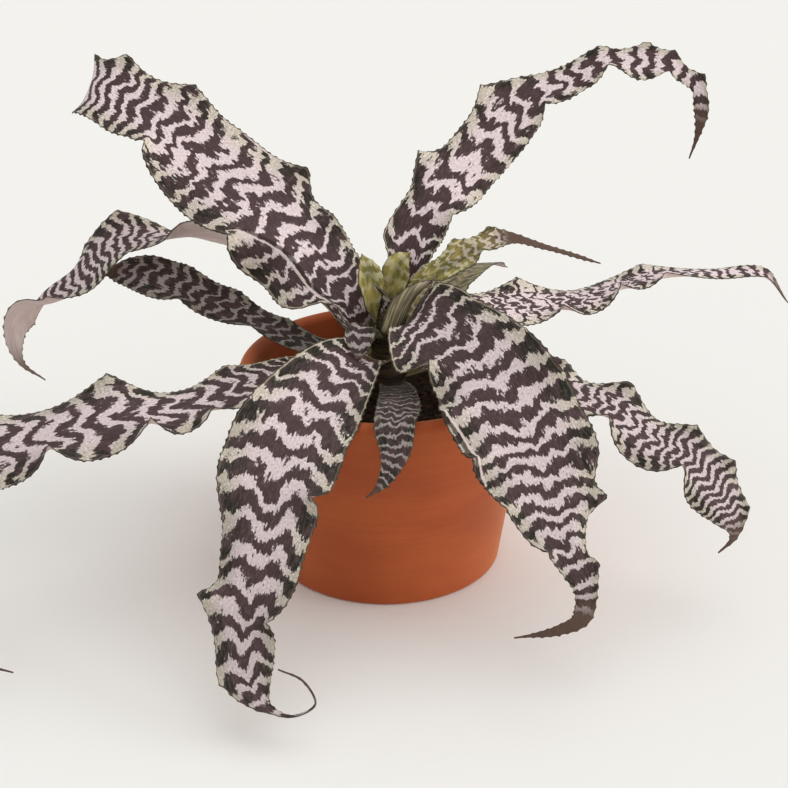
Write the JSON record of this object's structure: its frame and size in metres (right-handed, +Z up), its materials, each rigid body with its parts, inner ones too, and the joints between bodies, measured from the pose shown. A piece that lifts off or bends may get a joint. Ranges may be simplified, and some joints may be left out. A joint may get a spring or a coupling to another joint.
{
  "type": "potted bromeliad",
  "caption": "Potted bromeliad: a low rosette of long, arching, banded leaves with wavy edges, rooted in potting mix in a plain tapered terracotta pot.",
  "frame": {"origin": "centre of the pot's round underside, on the surface that it stands on", "axes": "+Z up along the pot's turned axis; -Y towards the plant's front, the side that the large front leaves hang over; +X to the viewer's right from the front"},
  "size_m": [0.393, 0.3031, 0.2165],
  "materials": {
    "terracotta": "matte",
    "potting_mix": "matte",
    "stem": "matte",
    "banded_leaf": "satin",
    "young_leaf": "satin"
  },
  "bodies": {
    "root": {"terracotta_pot": "terracotta", "potting_mix": "potting_mix", "stem": "stem", "leaf_left_low": "banded_leaf", "leaf_left_mid": "banded_leaf", "leaf_left_twisted": "banded_leaf", "leaf_upper_left": "banded_leaf", "leaf_upper_right": "banded_leaf", "leaf_right_young": "banded_leaf", "leaf_right_high": "banded_leaf", "leaf_right_low": "banded_leaf", "leaf_front_right": "banded_leaf", "leaf_front_small": "banded_leaf", "leaf_front_left": "banded_leaf", "leaf_under_heart": "young_leaf", "leaf_heart_left": "young_leaf", "leaf_heart_right": "young_leaf", "leaf_back_right": "banded_leaf", "leaf_back": "banded_leaf"}
  },
  "joints": []
}
